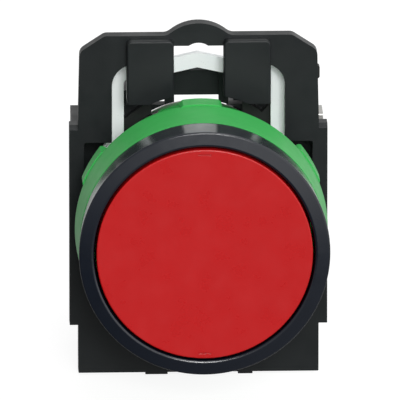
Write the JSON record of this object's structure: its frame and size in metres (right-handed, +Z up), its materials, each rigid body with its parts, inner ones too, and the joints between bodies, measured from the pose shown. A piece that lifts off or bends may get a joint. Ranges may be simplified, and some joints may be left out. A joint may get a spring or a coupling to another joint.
{
  "type": "industrial push button",
  "caption": "Flush red momentary push button for a 22 mm panel hole, with a clip-on mounting base, a panel clamp screw and a screw-terminal contact block.",
  "frame": {"origin": "on the barrel's axis, in the plane of the panel's front surface, where the gasket rests", "axes": "+Z up as mounted on an upright panel, +Y along the barrel into the cabinet, +X to the right as seen from the front"},
  "size_m": [0.0302, 0.0575, 0.0423],
  "materials": {
    "red_plastic": "smooth, satin gloss moulded plastic",
    "bezel_plastic": "glossy black moulded plastic",
    "green_plastic": "satin green moulded plastic",
    "base_plastic": "fine-textured black moulded plastic",
    "rubber": "matt black nitrile rubber",
    "plunger_plastic": "natural acetal",
    "lever_plastic": "black glass-filled plastic",
    "spring_steel": "bright spring wire",
    "plated_steel": "bright zinc-plated steel sheet",
    "screw_steel": "nickel-plated steel",
    "block_plastic": "black flame-retardant plastic",
    "cover_plastic": "dark grey flame-retardant plastic",
    "carrier_plastic": "green moulded plastic",
    "brass": "plain brass strip",
    "terminal_metal": "tin-plated brass",
    "silver": "silver alloy"
  },
  "bodies": {
    "head": {"head_body": "green_plastic", "bezel_ring": "bezel_plastic", "panel_gasket": "rubber", "plunger_seal": "rubber"},
    "button": {"button_cap": "red_plastic", "button_plunger": "plunger_plastic", "return_spring": "spring_steel"},
    "base": {"base_frame": "base_plastic", "lock_spring": "spring_steel", "contact_housing": "block_plastic", "contact_cover": "cover_plastic", "fixed_tips": "silver", "upper_terminal": "terminal_metal", "lower_terminal": "terminal_metal", "plunger_spring": "spring_steel"},
    "lever": {"locking_lever": "lever_plastic"},
    "hoop": {"clamp_hoop": "plated_steel"},
    "hoop_screw": {"clamp_screw": "screw_steel"},
    "carrier": {"contact_plunger": "carrier_plastic", "contact_bridge": "brass", "bridge_tips": "silver", "bridge_spring": "spring_steel"},
    "upper_plate": {"upper_clamp_plate": "screw_steel"},
    "upper_screw": {"upper_terminal_screw": "screw_steel"},
    "lower_plate": {"lower_clamp_plate": "screw_steel"},
    "lower_screw": {"lower_terminal_screw": "screw_steel"}
  },
  "joints": [
    {"name": "button_press", "type": "slide", "parent": "head", "child": "button", "axis": [0, 1, 0], "range_m": [0, 0.0042], "stiffness_N_per_m": 700, "springref_m": -0.005, "deforming": ["return_spring"]},
    {"name": "base_release", "type": "slide", "parent": "head", "child": "base", "axis": [0, 1, 0], "range_m": [0, 0.03], "deforming": ["lock_spring"]},
    {"name": "lever_turn", "type": "hinge", "parent": "base", "child": "lever", "pos_m": [0, 0.0118, 0], "axis": [0, -1, 0], "range_deg": [0, 20]},
    {"name": "hoop_slide", "type": "slide", "parent": "base", "child": "hoop", "axis": [0, -1, 0], "range_m": [0, 0.0021]},
    {"name": "clamp_screw_turn", "type": "hinge", "parent": "hoop", "child": "hoop_screw", "pos_m": [-0.0057, 0.0193, 0.015], "axis": [0, -1, 0], "range_deg": [0, 1682]},
    {"name": "contact_travel", "type": "slide", "parent": "base", "child": "carrier", "axis": [0, 1, 0], "range_m": [0, 0.00421], "deforming": ["plunger_spring"]},
    {"name": "upper_plate_slide", "type": "slide", "parent": "base", "child": "upper_plate", "axis": [0, 1, 0], "range_m": [0, 0.0012]},
    {"name": "upper_screw_turn", "type": "hinge", "parent": "upper_plate", "child": "upper_screw", "pos_m": [0.00975, 0.027, 0.0088], "axis": [0, 1, 0], "range_deg": [0, 866]},
    {"name": "lower_plate_slide", "type": "slide", "parent": "base", "child": "lower_plate", "axis": [0, 1, 0], "range_m": [0, 0.0012]},
    {"name": "lower_screw_turn", "type": "hinge", "parent": "lower_plate", "child": "lower_screw", "pos_m": [0.00975, 0.027, -0.0088], "axis": [0, 1, 0], "range_deg": [0, 866]}
  ],
  "couplings": [
    {"joint": "clamp_screw_turn", "follows": "hoop_slide", "rad_per_m": 13963},
    {"joint": "contact_travel", "follows": "button_press", "ratio": 1},
    {"joint": "upper_screw_turn", "follows": "upper_plate_slide", "rad_per_m": 12566},
    {"joint": "lower_screw_turn", "follows": "lower_plate_slide", "rad_per_m": 12566}
  ]
}
